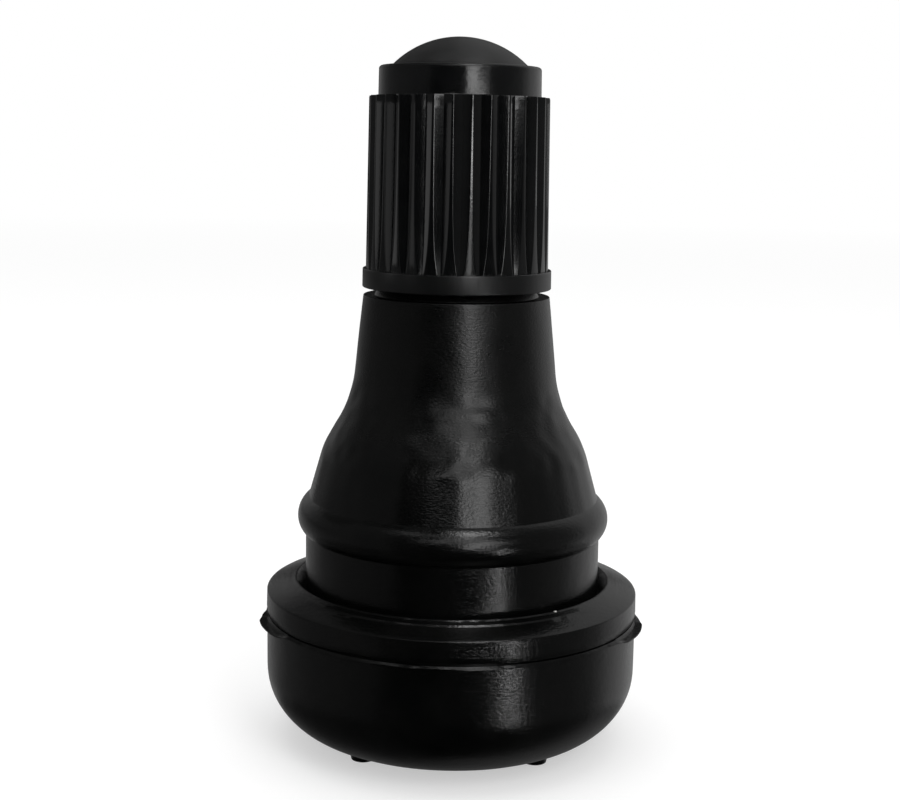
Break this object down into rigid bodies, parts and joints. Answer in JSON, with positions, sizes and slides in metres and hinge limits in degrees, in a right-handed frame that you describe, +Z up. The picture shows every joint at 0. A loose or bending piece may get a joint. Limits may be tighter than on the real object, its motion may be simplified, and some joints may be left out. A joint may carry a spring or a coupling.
{
  "type": "tyre valve",
  "caption": "Snap-in rubber tyre valve: rounded base with rim groove and bead, slim neck, ribbed screw cap, and a sprung pin core in a threaded stem.",
  "frame": {"origin": "centre of the base, on the plane of the nubs' feet that the valve stands on", "axes": "+Z up along the valve's axis, from the base to the cap; -Y towards the viewer of the picture, +X to its right"},
  "size_m": [0.0204, 0.0204, 0.0371],
  "materials": {
    "body_rubber": "satin moulded rubber with fine turned mould lines",
    "cap_plastic": "satin moulded plastic",
    "stem_brass": "turned brass",
    "core_brass": "turned brass",
    "seal_rubber": "smooth black rubber",
    "gasket_plastic": "dull red sealing plastic",
    "spring_steel": "drawn steel wire"
  },
  "bodies": {
    "valve": {"rubber_body": "body_rubber", "valve_stem": "stem_brass", "core_plug": "core_brass", "core_barrel": "core_brass", "barrel_gasket": "gasket_plastic", "core_spring": "spring_steel"},
    "cap_ring": {"cap_seal": "seal_rubber"},
    "cap": {"valve_cap": "cap_plastic"},
    "pin": {"core_pin": "core_brass", "seal_cup": "core_brass", "cup_seal": "seal_rubber"}
  },
  "joints": [
    {"name": "cap_lift", "type": "slide", "parent": "valve", "child": "cap_ring", "axis": [0, 0, 1], "range_m": [0, 0.00793]},
    {"name": "cap_turn", "type": "hinge", "parent": "cap_ring", "child": "cap", "pos_m": [0, 0, 0.029], "axis": [0, 0, 1], "range_deg": [0, 3600]},
    {"name": "pin_press", "type": "slide", "parent": "valve", "child": "pin", "axis": [0, 0, -1], "range_m": [0, 0.0015], "stiffness_N_per_m": 1200, "springref_m": -0.001, "deforming": ["core_spring"]}
  ],
  "couplings": [
    {"joint": "cap_turn", "follows": "cap_lift", "rad_per_m": 7915.8}
  ]
}
